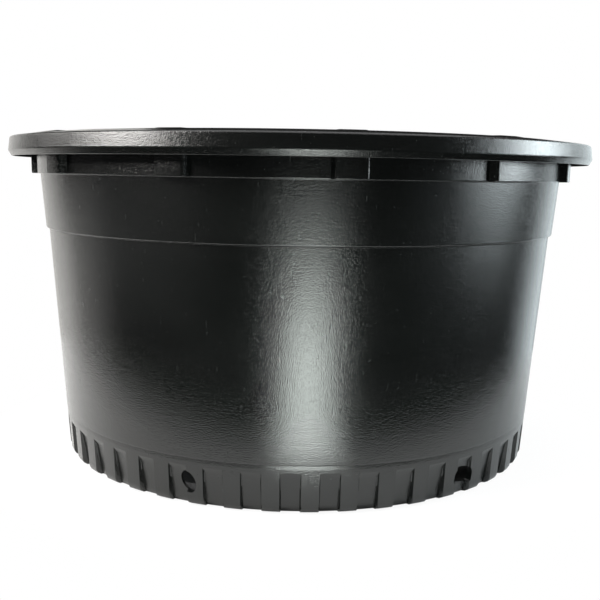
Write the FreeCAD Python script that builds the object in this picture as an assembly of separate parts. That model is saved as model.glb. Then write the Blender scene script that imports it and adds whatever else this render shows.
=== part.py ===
import FreeCAD, Part
import math
import os

# A squat nursery pot, moulded in one piece.
# Millimetres and degrees. The origin is the centre of the standing ring, +Z is up.
# Azimuths run from the front, -Y, towards +X.

# Overall sizes
height = 321.5
rim_radius = 300.0
wall = 3.0

# Standing ring and raised floor
foot_radius = 245.9
foot_chamfer = 7.4
ring_width = 16.0
floor_lift = 5.0
floor_slope = 8.0

# Side wall, in three bands that each stand proud of the one below
collar_drop = 38.2
collar_step = 2.8
collar_taper = 0.6
upper_band_width = 53.3
upper_band_step = 2.8
upper_band_taper = 4.8
wall_taper = 4.18

# Rim that falls outwards from the mouth, with a turned-down lip and a bead along its lower edge
rim_fall = 2.9
lip_drop = 21.5
lip_chamfer = 3.5
lip_face_tilt = 5.0
bead_height = 6.6
bead_bulge = 0.9

# Stacking lugs under the lip, hollow and open at the mouth
lug_count = 12
lug_width = 26.6
lug_projection = 7.3
lug_draft = 12.0
lug_corner = 1.5

# Pockets around the foot, with drafted sides and a floor that slopes inwards
pocket_count = 46
pocket_first = -1.25
pocket_width = 22.0
pocket_top = 38.3
pocket_draft = 35.0
pocket_ramp = 2.0
pocket_top_depth = 3.2
pocket_base_depth = 5.6

# Drain holes, arched over a level sill
hole_count = 6
hole_first = 30.0
hole_width = 18.0
hole_sill = 14.5
hole_crown = 29.5
hole_arch = 8.5

# How far a cutting shape runs past the face that it cuts
past = 2.0

# Levels of the two ledges, down from the top
collar_height = height - collar_drop
upper_band_height = collar_height - upper_band_width

ORIGIN = FreeCAD.Vector(0, 0, 0)
UP = FreeCAD.Vector(0, 0, 1)
OUTWARDS = FreeCAD.Vector(0, -1, 0)


def rise(angle):
    """Distance gained per unit along a line at this angle."""
    return math.tan(math.radians(angle))


def wall_radius(z):
    return foot_radius + z * rise(wall_taper)


def at(radius, z, lateral=0.0):
    """Point of the front side at this distance from the upright plane through the axis."""
    return FreeCAD.Vector(lateral, -radius, z)


def flat_face(points):
    return Part.Face(Part.makePolygon(points + points[:1]))


def rounded_wire(corners):
    """Closed wire through (point, rounding) corners."""
    arcs = []
    lines = []
    leave = None
    for index, (here, rounding) in enumerate(corners):
        before = corners[index - 1][0]
        after = corners[(index + 1) % len(corners)][0]
        back = (before - here).normalize()
        ahead = (after - here).normalize()
        half_angle = back.getAngle(ahead) / 2
        reach = rounding / math.tan(half_angle)
        arrive = here + back * reach
        if leave:
            lines.append(Part.LineSegment(leave, arrive).toShape())
        else:
            first = arrive
        leave = here + ahead * reach
        if rounding:
            inwards = (back + ahead).normalize()
            middle = here + inwards * rounding * (1 / math.sin(half_angle) - 1)
            arcs.append(Part.Arc(arrive, middle, leave).toShape())
    lines.append(Part.LineSegment(leave, first).toShape())
    return Part.Wire(Part.__sortEdges__(arcs + lines))


def revolved(corners):
    """Solid of revolution of (radius, z) corners."""
    points = [at(radius, z) for radius, z in corners]
    return flat_face(points).revolve(ORIGIN, UP, 360)


def ring_of(shape, count, first=0.0):
    """Copies of a front-facing shape, evenly spaced around the axis."""
    return [shape.rotated(ORIGIN, UP, first + 360.0 * k / count) for k in range(count)]


def side_corners(inset):
    """Side wall from its upper step to the top; inset 0 is outside, the wall is inside."""
    lift = inset * rise(22.5)
    half_step = upper_band_step / 2
    low = upper_band_height - half_step + lift
    high = upper_band_height + half_step + lift
    ledge = collar_height + inset
    band_foot = wall_radius(upper_band_height - half_step) + upper_band_step
    ledge_radius = band_foot + upper_band_width * rise(upper_band_taper)
    collar_foot = ledge_radius + collar_step
    collar_top = collar_foot + collar_drop * rise(collar_taper)
    return [
        (wall_radius(low) - inset, low),
        (band_foot - inset, high),
        (ledge_radius - inset, ledge),
        (collar_foot - inset, ledge),
        (collar_top - inset, height),
    ]


def collar_radius():
    """Outer radius of the collar at its lower edge."""
    return side_corners(0)[3][0]


def mouth_radius(inset):
    """Radius of the collar at the top, outside or inside."""
    return side_corners(inset)[4][0]


def lip_corners():
    """Flange, turned-down lip and bead, from the collar up to the mouth."""
    lip_top = height - rim_fall
    lip_foot = height - lip_drop
    crease = lip_foot + bead_height
    face_foot = rim_radius - bead_bulge
    face_top = face_foot - (lip_top - crease) * rise(lip_face_tilt)
    return [
        (mouth_radius(0), height - wall),
        (face_top - wall, lip_top - wall),
        (face_foot - wall, lip_foot),
        (face_foot, lip_foot),
        (rim_radius, crease - bead_bulge),
        (face_foot, crease),
        (face_top, lip_top - lip_chamfer),
        (face_top - lip_chamfer, lip_top),
        (mouth_radius(wall), height),
        (0, height),
    ]


def floor_corners(thickness):
    """Raised floor and standing ring; thickness 0 is the underside, the wall is the top."""
    lean = thickness * math.tan(math.atan2(floor_lift, floor_slope) / 2)
    ring_inner = foot_radius - foot_chamfer - ring_width + lean
    trim = thickness * rise(22.5)
    return [
        (0, floor_lift + thickness),
        (ring_inner - floor_slope, floor_lift + thickness),
        (ring_inner, thickness),
        (wall_radius(0) - foot_chamfer - trim, thickness),
        (wall_radius(foot_chamfer) - thickness, foot_chamfer + trim),
    ]


def outer_form():
    return revolved(floor_corners(0) + side_corners(0)[:-1] + lip_corners())


def cavity():
    above = height + past
    mouth = [(mouth_radius(wall), above), (0, above)]
    return revolved(floor_corners(wall) + side_corners(wall) + mouth)


def lug(inset, low, high):
    """One stacking lug between two heights, its sides moved in by inset."""
    root = collar_radius() - wall - inset
    front = collar_radius() + lug_projection - inset
    front_half = lug_width / 2 - inset
    root_half = front_half + (front - root) * rise(lug_draft)
    shoulder = math.sqrt(front ** 2 - front_half ** 2)
    left_root = at(root, low, -root_half)
    left = at(shoulder, low, -front_half)
    right = at(shoulder, low, front_half)
    right_root = at(root, low, root_half)
    outline = Part.Wire([
        Part.LineSegment(left_root, left).toShape(),
        Part.Arc(left, at(front, low), right).toShape(),
        Part.LineSegment(right, right_root).toShape(),
        Part.LineSegment(right_root, left_root).toShape(),
    ])
    return Part.Face(outline).extrude(UP * (high - low))


def outer_lug():
    """A lug that ends inside the flange, its front uprights and front lower edge chamfered."""
    top = height - (wall + rim_fall / 2) / 2
    block = lug(0, collar_height, top)
    front_edges = [edge for edge in block.Edges if -edge.BoundBox.YMax > collar_radius()]
    lower_or_upright = [edge for edge in front_edges if edge.BoundBox.ZMin < top - wall]
    return block.makeChamfer(lug_corner, lower_or_upright)


def bridged(first, last):
    """Solid with flat sides between two outlines that have matching points."""
    sides = []
    for k in range(len(first)):
        sides.append(flat_face([first[k - 1], first[k], last[k], last[k - 1]]))
    return Part.Solid(Part.Shell([flat_face(first), flat_face(last)] + sides))


def pocket():
    """Pocket tool: sides and top drafted, deepest at the base."""
    def section(top_depth, base_depth):
        top = pocket_top - top_depth * pocket_ramp
        low_radius = wall_radius(-past) - base_depth
        top_radius = wall_radius(top) - top_depth
        low_half = pocket_width / 2 - base_depth * rise(pocket_draft)
        top_half = pocket_width / 2 - top_depth * rise(pocket_draft)
        return [
            at(low_radius, -past, -low_half),
            at(top_radius, top, -top_half),
            at(top_radius, top, top_half),
            at(low_radius, -past, low_half),
        ]
    return bridged(section(-past, -past), section(pocket_top_depth, pocket_base_depth))


def pocket_back():
    """What stands into the pot behind a pocket, a wall away from its ramp and floor."""
    start = wall / 2
    bend = pocket_top_depth + wall
    highest = pocket_top + wall * math.hypot(1, pocket_ramp)
    profile = [
        (start, -past),
        (start, highest - pocket_ramp * start),
        (bend, highest - pocket_ramp * bend),
        (pocket_base_depth + wall, -past),
    ]
    half = (pocket_width + wall) / 2
    side = flat_face([at(wall_radius(z) - depth, z, -half) for depth, z in profile])
    return side.extrude(FreeCAD.Vector(2 * half, 0, 0))


def pocket_ring(tool):
    return ring_of(tool, pocket_count, pocket_first)


def hole_tools():
    """Arched cutters that reach radially through the wall behind the pockets."""
    start = wall_radius(0) - pocket_base_depth - wall - 2 * past
    half = hole_width / 2
    outline = rounded_wire([
        (at(start, hole_sill, -half), 0),
        (at(start, hole_sill, half), 0),
        (at(start, hole_crown, half), hole_arch),
        (at(start, hole_crown, -half), hole_arch),
    ])
    reach = wall_radius(hole_crown) + past - start
    return ring_of(Part.Face(outline).extrude(OUTWARDS * reach), hole_count, hole_first)


def nursery_pot():
    lugs = ring_of(outer_lug(), lug_count)
    hollows = ring_of(lug(wall, collar_height + wall, height + past), lug_count)
    outside = outer_form().cut(pocket_ring(pocket())).fuse(lugs)
    inside = cavity().cut(pocket_ring(pocket_back())).fuse(hollows)
    return outside.cut([inside] + hole_tools()).removeSplitter()


os.makedirs("parts", exist_ok=True)
nursery_pot().exportStep("parts/nursery_pot.step")
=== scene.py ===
import math

import bmesh
import bpy
from mathutils import Matrix, Vector


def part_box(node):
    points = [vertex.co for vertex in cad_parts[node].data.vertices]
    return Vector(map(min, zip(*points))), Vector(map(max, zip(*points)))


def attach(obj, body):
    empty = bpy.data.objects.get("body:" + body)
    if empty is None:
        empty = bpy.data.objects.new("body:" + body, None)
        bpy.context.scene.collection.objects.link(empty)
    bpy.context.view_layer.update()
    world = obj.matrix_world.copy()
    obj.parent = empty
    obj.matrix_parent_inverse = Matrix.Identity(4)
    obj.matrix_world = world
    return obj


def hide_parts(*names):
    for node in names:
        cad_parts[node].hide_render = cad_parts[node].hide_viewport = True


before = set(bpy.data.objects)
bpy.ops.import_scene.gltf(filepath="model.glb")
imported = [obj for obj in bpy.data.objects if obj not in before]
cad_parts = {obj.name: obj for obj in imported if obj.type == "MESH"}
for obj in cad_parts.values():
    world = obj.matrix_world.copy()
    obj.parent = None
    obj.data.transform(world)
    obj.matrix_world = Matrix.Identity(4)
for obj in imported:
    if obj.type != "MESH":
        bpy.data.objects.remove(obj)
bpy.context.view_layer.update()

MM = 0.001
TINY = 0.01 * MM
NODE = "nursery_pot"

# Sizes of the pot, in metres, with the overall ones read from the frame
node_low, node_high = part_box(NODE)
HEIGHT = node_high.z
RIM = -node_low.y
WALL = 3.0 * MM
FOOT = 245.9 * MM
WALL_TAPER = math.tan(math.radians(4.18))

# How far a wall's inner corner moves along its side where the wall turns by 45 degrees
MITRE = WALL * math.tan(math.radians(22.5))

# Columns of faces around the pot, 12 to a pocket and 46 to a lug
COLUMNS = 552
POCKETS = 46
LUGS = 12
POCKET_PITCH = COLUMNS // POCKETS
LUG_PITCH = COLUMNS // LUGS
COLUMN_ANGLE = 2 * math.pi / COLUMNS
FIRST_POCKET = -2

# Columns from the middle of a pocket to the edge of its floor, the foot of its flank and its rim
POCKET_FLOOR_EDGE = 3
POCKET_FLANK = 4
POCKET_RIM = 5

# Columns from the middle of a pocket to the edge of its back and to the wall beside it
BACK_EDGE = 4
BACK_SIDE = 5

# Columns from the middle of a lug to its sides, outside and in its hollow
LUG_SIDE = 4
HOLLOW_SIDE = 3


def wall_radius(z):
    return FOOT + z * WALL_TAPER


# Side wall levels
COLLAR = HEIGHT - 38.2 * MM
UPPER_BAND = COLLAR - 53.3 * MM
STEP = 2.8 * MM
LEDGE_HALF = 0.6 * MM
RIB_LEDGE = 44.3 * MM
RIB_LEDGE_STEP = 0.35 * MM
RIB_LEDGE_PROUD = 0.1 * MM
RIB_LEDGE_RISE = 0.4 * MM
BAND_FOOT = wall_radius(UPPER_BAND) + STEP
BAND_TOP = BAND_FOOT + (COLLAR - UPPER_BAND) * math.tan(math.radians(4.8))
COLLAR_FOOT = BAND_TOP + STEP
COLLAR_MIDDLE = COLLAR_FOOT - STEP / 2
COLLAR_TOP = COLLAR_FOOT + (HEIGHT - COLLAR) * math.tan(math.radians(0.6))

# Rim that falls outwards from the mouth, its turned-down lip, and the bead that leans in at its foot
SHOULDER = HEIGHT - 3.3 * MM
LIP_FOOT = HEIGHT - 21.5 * MM
CREASE = LIP_FOOT + 6.8 * MM
LIP_FACE = RIM - 0.45 * MM
LIP_TOP = LIP_FACE - (SHOULDER - CREASE) * math.tan(math.radians(7))
BEAD_WIDEST = LIP_FOOT + 5.5 * MM
BEAD_FOOT = RIM - 3.2 * MM
BEAD_BACK = RIM - 4.6 * MM

# Raised floor and standing ring
CHAMFER = 7.4 * MM
RING_OUTER = FOOT - 8.4 * MM
RING_INNER = FOOT - 23.4 * MM
FLOOR_LIFT = 5 * MM
FLOOR_SLOPE = 8 * MM
FLOOR_ROUNDING = 2 * MM

# Points of the foot's rounded lower edge, out from the standing ring and up
FOOT_EDGE = [(4.3 * MM, 0.8 * MM), (7.3 * MM, 2.6 * MM)]

# Pockets around the foot
POCKET_TOP = 38.3 * MM
POCKET_BEND = 31.8 * MM
POCKET_HALF = 11 * MM
POCKET_ROUNDING = 1.8 * MM
FLOOR_HALF = 8.3 * MM
FLOOR_DEPTH = 5.6 * MM
FLANK_DEPTH = 2.1 * MM
SIDE_DRAFT = 0.3 * MM
CURL = 1.6 * MM
CURL_HEIGHT = 3.2 * MM
BACK_BEND = 32.5 * MM
BACK_TOP = 39 * MM

# Levels between the rows of faces over the pockets, outside and inside
FOOT_LEVELS = [5.6 * MM, 9 * MM, 15 * MM, 23 * MM, POCKET_BEND, POCKET_TOP, 41 * MM]
BACK_LEVELS = [42 * MM, BACK_TOP, BACK_BEND]

# Drain holes: a leaning arch where one falls on a pocket, a leaning oval where it meets a pocket's side
ARCH_TURNS = [30, 210]
ARCH_HALF = 10.8 * MM
ARCH_SILL = 12.2 * MM
ARCH_CROWN = 27.3 * MM
ARCH_ROUNDING = 8 * MM
SILL_ROUNDING = 2 * MM
ARCH_TILT = math.radians(9)
OVAL_TURNS = [-30.2, 89.8, 149.8, 269.8]
OVAL_HALF_WIDTH = 6.9 * MM
OVAL_HALF_HEIGHT = 10 * MM
OVAL_MIDDLE = 21.9 * MM
OVAL_TILT = math.radians(-19)
HOLE_FLARE = 1.35
CUTTER_REACH = 20 * MM

# Stacking lugs
LUG_FRONT = COLLAR_FOOT + 7.3 * MM
LUG_HALF = 13.3 * MM
LUG_ROUNDING = 1.5 * MM

# Edges that turn by more than this many degrees stay crisp
CRISP_ANGLE = 24

# Black plastic
BASE_BLACK = (0.0024, 0.0028, 0.0026)
WORN_BLACK = (0.030, 0.032, 0.031)
BASE_ROUGHNESS = 0.215
PLASTIC_IOR = 1.49
RELIEF_STRENGTH = 0.34
RELIEF_HEIGHT = 0.25 * MM

# Camera of the photograph
CAMERA_AZIMUTH = math.radians(-8.25)
CAMERA_DISTANCE = 0.9382
CAMERA_HEIGHT = 0.2872
CAMERA_LENS = 51.27
CAMERA_PITCH = math.radians(-8.40)
CAMERA_YAW = math.radians(-0.14)
CAMERA_ROLL = math.radians(1.00)

# White paper that the pot stands on, its middle a little behind the pot
PAPER_REACH = 0.538
PAPER_BEHIND = 0.168
PAPER_WHITE = (0.85, 0.85, 0.85, 1)

# Distances from the pot's axis at which the paper's glow starts to grow and is full, and its share till then
GLOW_START = 0.25
GLOW_FULL = 0.35
GLOW_SHARE = 0.92

# Turn of the lamps in front, from the camera's side in degrees
FRONT_TURN = 3.7

# Light of the room, and the tints of the lamps at the left, at the right and in front
ROOM_LEVEL = 0.02
WHITE = (1, 1, 1)
WARM = (1.0, 0.985, 0.95)
COOL = (0.87, 0.97, 1.0)
GREENISH = (0.93, 1.0, 0.955)


def foot_section():
    """Underside of the raised floor, standing ring and the outer foot up to the low ledge."""
    corners = [
        (0, FLOOR_LIFT, 0),
        (RING_INNER - FLOOR_SLOPE, FLOOR_LIFT, FLOOR_ROUNDING),
        (RING_INNER, 0, FLOOR_ROUNDING),
        (RING_OUTER, 0, 0),
    ]
    corners += [(RING_OUTER + out, up, 0) for out, up in FOOT_EDGE]
    corners += [(wall_radius(z), z, 0) for z in FOOT_LEVELS]
    return corners


def side_section():
    """Outer side wall with its three ledges, up to the flange's underside."""
    return [
        (wall_radius(RIB_LEDGE) - RIB_LEDGE_STEP, RIB_LEDGE, 0.3 * MM),
        (wall_radius(RIB_LEDGE) + RIB_LEDGE_PROUD, RIB_LEDGE + RIB_LEDGE_RISE, 0.3 * MM),
        (wall_radius(UPPER_BAND - LEDGE_HALF), UPPER_BAND - LEDGE_HALF, 0.2 * MM),
        (BAND_FOOT, UPPER_BAND + LEDGE_HALF, 0.9 * MM),
        (BAND_TOP, COLLAR, 0.6 * MM),
        (COLLAR_FOOT, COLLAR, 1.0 * MM),
        (COLLAR_TOP, HEIGHT - WALL, 0.8 * MM),
    ]


def lip_section():
    """Flange, lip and bead, from the flange's underside round to the mouth."""
    return [
        (LIP_TOP - WALL, SHOULDER - WALL, 2.0 * MM),
        (BEAD_BACK, LIP_FOOT, 0.3 * MM),
        (BEAD_FOOT, LIP_FOOT, 0.5 * MM),
        (RIM, BEAD_WIDEST, 1.5 * MM),
        (LIP_FACE, CREASE, 0.5 * MM),
        (LIP_TOP, SHOULDER, 1.6 * MM),
        (COLLAR_TOP - WALL, HEIGHT, 0.8 * MM),
    ]


def inner_section():
    """Inside, from below the mouth down to the middle of the floor."""
    low = UPPER_BAND - STEP / 2 + MITRE
    high = UPPER_BAND + STEP / 2 + MITRE
    corners = [
        (COLLAR_FOOT - WALL, COLLAR + WALL, 0.6 * MM),
        (BAND_TOP - WALL, COLLAR + WALL, 1.0 * MM),
        (BAND_FOOT - WALL, high, 0.8 * MM),
        (wall_radius(low) - WALL, low, 0.8 * MM),
    ]
    corners += [(wall_radius(z) - WALL, z, 0) for z in BACK_LEVELS]
    corners += [
        (wall_radius(CHAMFER) - WALL, CHAMFER + MITRE, 0),
        (RING_OUTER - MITRE, WALL, 0),
        (RING_INNER + MITRE, WALL, FLOOR_ROUNDING),
        (RING_INNER - FLOOR_SLOPE + MITRE, FLOOR_LIFT + WALL, FLOOR_ROUNDING),
        (0, FLOOR_LIFT + WALL, 0),
    ]
    return corners


def outline():
    """The wall's whole section as (radius, height, rounding), from the underside's centre to the floor's."""
    return foot_section() + side_section() + lip_section() + inner_section()


def round_off(mesh, chosen, rounding, affect, segments):
    """Rounds the chosen corners of a flat outline, or the chosen edges of a body."""
    bmesh.ops.bevel(
        mesh,
        geom=chosen,
        offset=rounding,
        offset_type="OFFSET",
        affect=affect,
        segments=segments,
        profile=0.5,
        material=-1,
        clamp_overlap=affect == "EDGES",
    )


def spun_shell():
    """The plain body: its rounded section spun about the axis, in columns counted from the front."""
    shell = bmesh.new()
    corners = []
    for radius, z, rounding in outline():
        corners.append((shell.verts.new((0, -radius, z)), rounding))
    for (before, _), (after, _) in zip(corners, corners[1:]):
        shell.edges.new((before, after))
    for corner, rounding in corners:
        if rounding:
            round_off(shell, [corner], rounding, "VERTICES", segments=4)
    bmesh.ops.spin(
        shell,
        geom=shell.verts[:] + shell.edges[:],
        cent=(0, 0, 0),
        axis=(0, 0, 1),
        angle=2 * math.pi,
        steps=COLUMNS,
        use_merge=True,
    )
    bmesh.ops.remove_doubles(shell, verts=shell.verts, dist=TINY / 5)
    bmesh.ops.recalc_face_normals(shell, faces=shell.faces)
    return shell


def column_of(vertex):
    """Column and turn of a vertex, counted from the front towards +X."""
    turn = math.atan2(vertex.co.x, -vertex.co.y)
    return round(turn / COLUMN_ANGLE), turn


def centred(column, first, pitch):
    """Whole columns between this one and the middle of its pocket or lug, with their sign."""
    return (column - first + pitch // 2) % pitch - pitch // 2


def spot_turn(column, offset, lateral, radius):
    """Turn of a point that stands this far beside the middle of its pocket or lug."""
    side = math.copysign(lateral / radius, offset) if offset else 0.0
    return (column - offset) * COLUMN_ANGLE + side


def floor_depth(z, bend):
    """Depth of a pocket's floor, which sinks from its bend down to the base."""
    return FLANK_DEPTH + (FLOOR_DEPTH - FLANK_DEPTH) * (bend - z) / bend


def pocket_spot(column, radius, z):
    """Where a point of the outer foot goes: across a pocket's land, flank, side and floor."""
    offset = centred(column, FIRST_POCKET, POCKET_PITCH)
    rank = abs(offset)
    uniform = rank * COLUMN_ANGLE * radius
    lateral = uniform if rank > POCKET_RIM else POCKET_HALF * rank / POCKET_RIM
    depth = 0.0
    if z < POCKET_BEND + TINY and rank < POCKET_RIM:
        curl = CURL * max(0.0, 1 - z / CURL_HEIGHT)
        if rank == POCKET_FLANK:
            lateral = FLOOR_HALF + SIDE_DRAFT
            depth = curl + FLANK_DEPTH
        else:
            lateral = (FLOOR_HALF - SIDE_DRAFT) * rank / POCKET_FLOOR_EDGE
            depth = curl + floor_depth(z, POCKET_BEND)
    fade = min(1.0, max(0.0, (RIB_LEDGE - z) / (RIB_LEDGE - POCKET_TOP)))
    lateral = uniform + (lateral - uniform) * fade
    return spot_turn(column, offset, lateral, radius), min(radius, wall_radius(z) - depth)


def pocket_back_spot(column, radius, z):
    """Where a point of the inner foot goes: over the back of a pocket, a wall away from it."""
    offset = centred(column, FIRST_POCKET, POCKET_PITCH)
    rank = abs(offset)
    half = POCKET_HALF + WALL / 2
    depth = WALL
    if rank > BACK_SIDE:
        lateral = rank * COLUMN_ANGLE * radius
    elif rank == BACK_SIDE:
        lateral = half + SIDE_DRAFT
    else:
        lateral = half * rank / BACK_EDGE
        if z < BACK_BEND + TINY:
            depth = WALL + floor_depth(z, BACK_BEND)
    return spot_turn(column, offset, lateral, radius), min(radius, wall_radius(z) - depth)


def lug_spot(column, radius, inset, side):
    """Where a point of the collar goes: out to the front of a lug, with drafted sides."""
    offset = centred(column, 0, LUG_PITCH)
    rank = abs(offset)
    if rank > side:
        return column * COLUMN_ANGLE, radius
    front = LUG_FRONT - inset
    lateral = (LUG_HALF - inset) * rank / side
    return spot_turn(column, offset, lateral, front), radius + LUG_FRONT - COLLAR_FOOT


def foot_skin(z):
    """Radius of the outer foot with its rounded lower corner, a little inside it."""
    return min(RING_OUTER + z, wall_radius(z))


def formed(shell):
    """Presses in the pockets and draws out the lugs; gives the vertices along their edges."""
    sides = set()
    tops = set()
    corners = set()
    for vertex in shell.verts:
        column, turn = column_of(vertex)
        radius = math.hypot(vertex.co.x, vertex.co.y)
        z = vertex.co.z
        outside = radius > foot_skin(z) - WALL / 2
        if z < RIB_LEDGE - TINY and outside and z > TINY:
            rank = abs(centred(column, FIRST_POCKET, POCKET_PITCH))
            if rank == POCKET_RIM and z < POCKET_TOP + TINY:
                sides.add(vertex)
            if rank <= POCKET_RIM and abs(z - POCKET_TOP) < TINY:
                tops.add(vertex)
            turn, radius = pocket_spot(column, radius, z)
        elif z < BACK_TOP + TINY and radius > RING_OUTER and not outside:
            turn, radius = pocket_back_spot(column, radius, z)
        elif z > COLLAR - TINY and 0 < radius - COLLAR_MIDDLE < WALL:
            if abs(centred(column, 0, LUG_PITCH)) == LUG_SIDE:
                corners.add(vertex)
            turn, radius = lug_spot(column, radius, 0, LUG_SIDE)
        elif z > COLLAR + WALL - TINY and 0 < COLLAR_MIDDLE - radius < WALL:
            turn, radius = lug_spot(column, radius, WALL, HOLLOW_SIDE)
        vertex.co = Vector((math.sin(turn) * radius, -math.cos(turn) * radius, z))
    return sides, tops, corners


def soften_edges(shell, sides, tops, corners):
    """Rounds the edge around every pocket and the upright corners of every lug."""
    pocket_rims = []
    lug_corners = []
    for edge in shell.edges:
        a, b = edge.verts
        upright = abs(a.co.z - b.co.z) > TINY
        if upright and a in sides and b in sides or not upright and a in tops and b in tops:
            pocket_rims.append(edge)
        elif a in corners and b in corners:
            lug_corners.append(edge)
    round_off(shell, pocket_rims, POCKET_ROUNDING, "EDGES", segments=3)
    round_off(shell, lug_corners, LUG_ROUNDING, "EDGES", segments=3)


def arch_face(block):
    """Upright arch, a little rounded at its foot, in the plane y = 0; gives its middle height."""
    corners = [
        (-ARCH_HALF, ARCH_SILL),
        (ARCH_HALF, ARCH_SILL),
        (ARCH_HALF, ARCH_CROWN),
        (-ARCH_HALF, ARCH_CROWN),
    ]
    points = [block.verts.new((x, 0, z)) for x, z in corners]
    block.faces.new(points)
    round_off(block, points[2:], ARCH_ROUNDING, "VERTICES", segments=8)
    round_off(block, points[:2], SILL_ROUNDING, "VERTICES", segments=8)
    return (ARCH_SILL + ARCH_CROWN) / 2


def oval_face(block):
    """Upright oval in the plane y = 0; gives its middle height."""
    bmesh.ops.create_circle(block, cap_ends=True, radius=1, segments=32)
    bmesh.ops.scale(block, verts=block.verts, vec=(OVAL_HALF_WIDTH, OVAL_HALF_HEIGHT, 1))
    turn_block(block, 0, math.pi / 2, "X")
    bmesh.ops.translate(block, verts=block.verts, vec=(0, 0, OVAL_MIDDLE))
    return OVAL_MIDDLE


def turn_block(block, height, angle, axis):
    """Turns a whole block about a line through a point on the pot's axis."""
    bmesh.ops.rotate(
        block,
        verts=block.verts,
        cent=(0, 0, height),
        matrix=Matrix.Rotation(angle, 3, axis),
    )


def hole_cutter(face, turn, tilt):
    """Block that cuts one drain hole radially through the wall, leaning by the tilt and wider inside."""
    block = bmesh.new()
    middle = face(block)
    turn_block(block, middle, tilt, "Y")
    bmesh.ops.translate(block, verts=block.verts, vec=(0, CUTTER_REACH - RING_OUTER, 0))
    grown = bmesh.ops.extrude_face_region(block, geom=block.faces[:])
    moved = [g for g in grown["geom"] if isinstance(g, bmesh.types.BMVert)]
    bmesh.ops.translate(block, verts=moved, vec=(0, -2 * CUTTER_REACH, 0))
    inner = [v for v in block.verts if v not in moved]
    bmesh.ops.scale(block, verts=inner, vec=(HOLE_FLARE, 1, 1))
    turn_block(block, 0, turn, "Z")
    bmesh.ops.recalc_face_normals(block, faces=block.faces)
    return block


def drain_holes():
    """All drain hole cutters as one mesh."""
    blocks = [hole_cutter(arch_face, math.radians(turn), ARCH_TILT) for turn in ARCH_TURNS]
    blocks += [hole_cutter(oval_face, math.radians(turn), OVAL_TILT) for turn in OVAL_TURNS]
    shells = bmesh.new()
    for block in blocks:
        one = mesh_of("drain_hole", block)
        shells.from_mesh(one)
        bpy.data.meshes.remove(one)
    return mesh_of("drain_holes", shells)


def mesh_of(name, shape):
    """Turns a bmesh into a mesh and frees it."""
    mesh = bpy.data.meshes.new(name)
    shape.to_mesh(mesh)
    shape.free()
    return mesh


def object_of(name, data):
    made = bpy.data.objects.new(name, data)
    bpy.context.scene.collection.objects.link(made)
    return made


def pot_mesh():
    """The formed shell with the drain holes cut through it."""
    shell = spun_shell()
    soften_edges(shell, *formed(shell))
    uncut = object_of("pot_uncut", mesh_of("pot_shell", shell))
    cutter = object_of("hole_cutter", drain_holes())
    cut = uncut.modifiers.new("drain holes", "BOOLEAN")
    cut.operation = "DIFFERENCE"
    cut.solver = "EXACT"
    cut.object = cutter
    graph = bpy.context.evaluated_depsgraph_get()
    finished = bpy.data.meshes.new_from_object(uncut.evaluated_get(graph))
    bpy.data.objects.remove(uncut)
    bpy.data.objects.remove(cutter)
    return finished


def smooth_with_crisp_edges(mesh):
    for polygon in mesh.polygons:
        polygon.use_smooth = True
    mesh.set_sharp_from_angle(angle=math.radians(CRISP_ANGLE))


class Graph:
    """Short ways to add and join shader nodes."""

    def __init__(self, tree):
        self.nodes = tree.nodes
        self.links = tree.links

    def fill(self, node, *values):
        """Sets the first inputs of a node to these values, or joins them to these sockets."""
        for value, socket in zip(values, node.inputs):
            if isinstance(value, bpy.types.NodeSocket):
                self.links.new(value, socket)
            else:
                socket.default_value = value
        return node

    def add(self, kind, *values):
        return self.fill(self.nodes.new(kind), *values)

    def math(self, operation, *values):
        node = self.nodes.new("ShaderNodeMath")
        node.operation = operation
        return self.fill(node, *values).outputs[0]

    def weighted_sum(self, *terms, start=0.0):
        """Sum of (value, weight) terms."""
        total = start
        for value, weight in terms:
            total = self.math("MULTIPLY_ADD", value, weight, total)
        return total

    def stretched(self, scale):
        """Object coordinates scaled along each axis."""
        place = self.nodes.new("ShaderNodeTexCoord")
        node = self.nodes.new("ShaderNodeMapping")
        node.inputs["Scale"].default_value = scale
        self.links.new(place.outputs["Object"], node.inputs["Vector"])
        return node.outputs[0]

    def noise(self, scale, detail, roughness=0.5):
        """Noise with this many features to a metre along each axis."""
        node = self.nodes.new("ShaderNodeTexNoise")
        self.links.new(self.stretched(scale), node.inputs["Vector"])
        node.inputs["Scale"].default_value = 1.0
        node.inputs["Detail"].default_value = detail
        node.inputs["Roughness"].default_value = roughness
        return node.outputs[0]

    def ramp(self, value, low, high, to_low=0.0, to_high=1.0):
        return self.add("ShaderNodeMapRange", value, low, high, to_low, to_high).outputs[0]

    def distance(self):
        """Distance of a point from the origin."""
        node = self.nodes.new("ShaderNodeVectorMath")
        node.operation = "LENGTH"
        return self.fill(node, self.stretched((1, 1, 1))).outputs["Value"]

    def camera_ray(self):
        return self.nodes.new("ShaderNodeLightPath").outputs["Is Camera Ray"]


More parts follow.
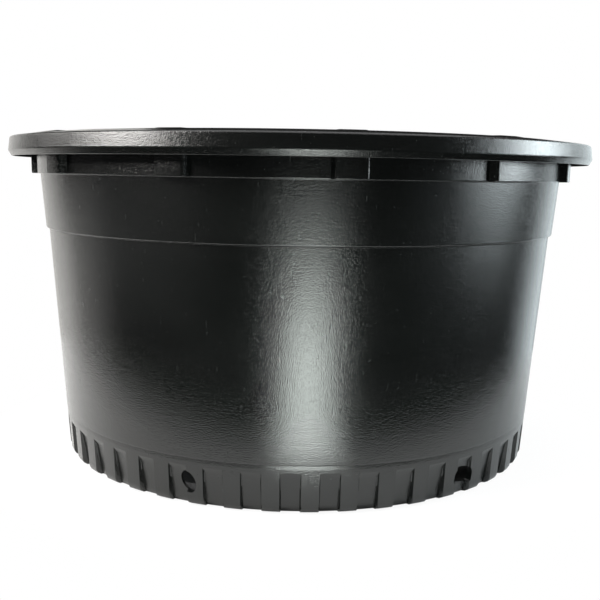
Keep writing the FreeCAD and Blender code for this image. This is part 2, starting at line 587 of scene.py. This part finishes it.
def black_plastic():
    """Satin moulded polypropylene with drawn lines, mottling, scuffs and a little dust."""
    material = bpy.data.materials.new("satin_black_plastic")
    material.use_nodes = True
    shader = material.node_tree.nodes["Principled BSDF"]
    graph = Graph(material.node_tree)

    grain = graph.noise((1050, 1050, 1050), 0.0)
    mottle = graph.noise((560, 560, 560), 2.0, 0.6)
    lines = graph.noise((90, 90, 430), 2.0, 0.6)
    drawn = graph.noise((430, 430, 60), 2.0, 0.6)
    patches = graph.noise((11, 11, 16), 3.0)
    scratches = graph.ramp(graph.noise((560, 560, 50), 1.0), 0.73, 0.81)
    dust = graph.ramp(graph.noise((520, 520, 520), 0.0), 0.83, 0.89)

    marks = graph.weighted_sum((scratches, 0.3), (dust, 0.5))
    worn = graph.math("ADD", marks, graph.ramp(patches, 0.4, 0.7, 0.0, 0.04))
    shade = graph.nodes.new("ShaderNodeMix")
    shade.data_type = "RGBA"
    shade.inputs["A"].default_value = (*BASE_BLACK, 1)
    shade.inputs["B"].default_value = (*WORN_BLACK, 1)
    graph.links.new(worn, shade.inputs["Factor"])
    graph.links.new(shade.outputs["Result"], shader.inputs["Base Color"])

    rough = graph.weighted_sum(
        (graph.ramp(mottle, 0.3, 0.7, -0.03, 0.03), 1.0),
        (graph.ramp(patches, 0.35, 0.65, -0.01, 0.01), 1.0),
        (marks, 0.3),
        start=BASE_ROUGHNESS,
    )
    graph.links.new(rough, shader.inputs["Roughness"])
    shader.inputs["IOR"].default_value = PLASTIC_IOR

    relief = graph.weighted_sum((lines, 0.5), (mottle, 0.55), (grain, 2.1), (drawn, 0.4))
    bump = graph.nodes.new("ShaderNodeBump")
    bump.inputs["Strength"].default_value = RELIEF_STRENGTH
    bump.inputs["Distance"].default_value = RELIEF_HEIGHT
    graph.links.new(relief, bump.inputs["Height"])
    graph.links.new(bump.outputs["Normal"], shader.inputs["Normal"])
    return material


def white_paper():
    """White paper; its glow for the camera alone grows outwards, so that its edge doesn't show."""
    material = bpy.data.materials.new("white_paper")
    material.use_nodes = True
    material.node_tree.nodes.clear()
    graph = Graph(material.node_tree)
    share = graph.ramp(graph.distance(), GLOW_START, GLOW_FULL, GLOW_SHARE, 1.0)
    seen = graph.math("MULTIPLY", graph.camera_ray(), share)
    paint = graph.add("ShaderNodeBsdfDiffuse", PAPER_WHITE).outputs[0]
    glow = graph.add("ShaderNodeEmission", (*WHITE, 1), 1.0).outputs[0]
    mixed = graph.add("ShaderNodeMixShader", seen, paint, glow).outputs[0]
    graph.add("ShaderNodeOutputMaterial", mixed)
    return material


def paper_disc():
    disc = bmesh.new()
    bmesh.ops.create_circle(disc, cap_ends=True, radius=PAPER_REACH, segments=96)
    bmesh.ops.translate(disc, verts=disc.verts, vec=(0, PAPER_BEHIND, 0))
    floor = object_of("floor", mesh_of("floor", disc))
    floor.data.materials.append(white_paper())


def room_light():
    """Dim room that shows white to the camera alone."""
    world = bpy.data.worlds.new("studio")
    bpy.context.scene.world = world
    world.use_nodes = True
    world.node_tree.nodes.clear()
    graph = Graph(world.node_tree)
    room = graph.add("ShaderNodeBackground", (*WHITE, 1), ROOM_LEVEL).outputs[0]
    backdrop = graph.add("ShaderNodeBackground", (*WHITE, 1), 1.0).outputs[0]
    mixed = graph.add("ShaderNodeMixShader", graph.camera_ray(), room, backdrop).outputs[0]
    graph.add("ShaderNodeOutputWorld", mixed)


def around(turn, distance, z):
    """Point at a turn from the front, towards +X, at a distance from the axis."""
    return (math.sin(turn) * distance, -math.cos(turn) * distance, z)


def photo_camera():
    lens = bpy.data.cameras.new("camera")
    lens.sensor_width = 36
    lens.lens = CAMERA_LENS
    camera = object_of("camera", lens)
    bpy.context.scene.camera = camera
    place = Vector(around(CAMERA_AZIMUTH, CAMERA_DISTANCE, CAMERA_HEIGHT))
    heading = math.atan2(-place.y, -place.x) + CAMERA_YAW
    level = Vector((math.cos(heading), math.sin(heading), 0))
    forward = level * math.cos(CAMERA_PITCH) + Vector((0, 0, math.sin(CAMERA_PITCH)))
    right = forward.cross(Vector((0, 0, 1))).normalized()
    up = right.cross(forward)
    turned = right * math.cos(CAMERA_ROLL) + up * math.sin(CAMERA_ROLL)
    axes = Matrix((turned, turned.cross(forward), -forward)).transposed()
    camera.matrix_world = Matrix.Translation(place) @ axes.to_4x4()


def softbox(name, turn, distance, z, width, height, glow, tint, aim):
    """Rectangular soft light of this brightness, at a turn from the camera's side, facing a point."""
    place = around(CAMERA_AZIMUTH + math.radians(turn), distance, z)
    lamp = bpy.data.lights.new(name, "AREA")
    lamp.shape = "RECTANGLE"
    lamp.size = width
    lamp.size_y = height
    lamp.energy = glow * math.pi * width * height
    lamp.color = tint
    holder = object_of(name, lamp)
    holder.location = place
    holder.rotation_euler = (Vector(aim) - Vector(place)).to_track_quat("-Z", "Y").to_euler()
    holder.visible_camera = False


def studio_lights():
    """Lamps at both sides for the edges and the rim, in front for the long highlight, and above.

    Each row gives the name, turn, distance and height of a lamp, its own width and height, its
    brightness and tint, and the point that it faces.
    """
    front = FRONT_TURN
    middle = (0, 0, 0.2)
    low = (0, 0, 0.1)
    base = (0, 0, 0)
    strip_distance = 0.43
    overhead = around(CAMERA_AZIMUTH + math.radians(front), strip_distance - 0.5 * MM, 1.0)
    lamps = [
        ("left", -62, 1.36, 0.88, 0.70, 0.70, 23, WARM, middle),
        ("left_wide", -64, 1.5, 1.02, 1.4, 0.76, 1.7, WARM, middle),
        ("left_mid", -92, 1.4, 0.79, 0.8, 0.60, 3.1, WARM, middle),
        ("left_low", -66, 1.3, 0.04, 1.5, 0.16, 0.45, WHITE, middle),
        ("left_low_behind", -106, 1.3, -0.10, 0.8, 0.50, 0.8, WARM, middle),
        ("far_left", -140, 1.5, 0.25, 1.3, 1.1, 1.2, WARM, middle),
        ("right_low", 72, 1.3, 0.04, 1.2, 0.16, 0.55, COOL, middle),
        ("right", 80, 1.29, 0.49, 0.62, 0.80, 6.5, COOL, middle),
        ("right_upper", 98, 1.28, 0.68, 0.54, 0.60, 5.0, COOL, middle),
        ("right_core", 87.4, 1.24, 0.48, 0.42, 0.38, 9.0, COOL, middle),
        ("right_behind", 130, 1.42, 0.3, 0.8, 1.2, 1.7, COOL, middle),
        ("low_front", front, 0.62, -0.02, 0.18, 0.20, 13.2, GREENISH, base),
        ("front_mid", front, 0.63, 0.105, 0.20, 0.12, 2.4, GREENISH, low),
        ("front_haze", front, 0.66, 0.02, 0.18, 0.36, 1.3, GREENISH, low),
        ("front_strip", front, strip_distance, 0.003, 0.11, 0.20, 5.0, GREENISH, overhead),
        ("above", 0, 0.2, 1.35, 2.2, 2.2, 1.75, WHITE, middle),
    ]
    for lamp in lamps:
        softbox(*lamp)


pot = object_of("pot", pot_mesh())
smooth_with_crisp_edges(pot.data)
pot.data.materials.clear()
pot.data.materials.append(black_plastic())
normals = pot.modifiers.new("even shading", "WEIGHTED_NORMAL")
normals.keep_sharp = True
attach(pot, "root")
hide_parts(NODE)

paper_disc()
room_light()
photo_camera()
studio_lights()

view = bpy.context.scene.view_settings
view.view_transform = "Standard"
